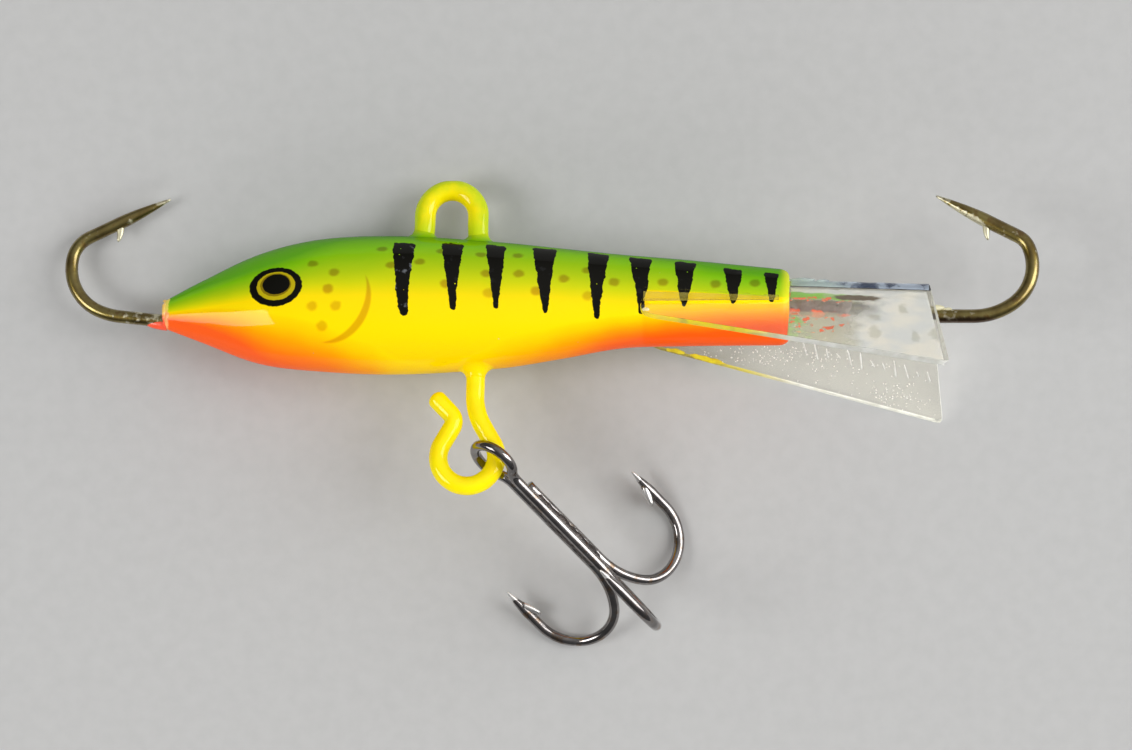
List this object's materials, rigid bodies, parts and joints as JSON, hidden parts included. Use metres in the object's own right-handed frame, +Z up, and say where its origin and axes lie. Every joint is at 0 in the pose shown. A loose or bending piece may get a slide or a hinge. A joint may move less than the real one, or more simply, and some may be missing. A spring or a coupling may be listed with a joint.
{
  "type": "ice fishing jig",
  "caption": "Fish-shaped balanced jig on its side: a hook at each end, a line loop on the back, a clear roof-shaped tail fin and a treble hook on an open belly hanger.",
  "frame": {"origin": "middle of the footprint, on the surface the jig lies on", "axes": "+X from nose to tail, +Y towards the fish's back, +Z up out of the upper flank"},
  "size_m": [0.0702, 0.0338, 0.0173],
  "materials": {
    "body_paint": "gloss lacquer over sprayed perch colours: green back, yellow flanks, orange underside, black bars",
    "wire_paint": "gloss yellow paint, greener on the loop",
    "bronzed_steel": "bronzed hook wire, smooth and shiny",
    "clear_plastic": "clear moulded plastic sheet with fine bubbles and haze",
    "black_nickel": "black nickel plate, mirror bright with worn points"
  },
  "bodies": {
    "root": {"body": "body_paint", "loop_and_hanger_wire": "wire_paint", "nose_hook": "bronzed_steel", "tail_hook": "bronzed_steel", "tail_fin": "clear_plastic", "treble_hook": "black_nickel"}
  },
  "joints": []
}
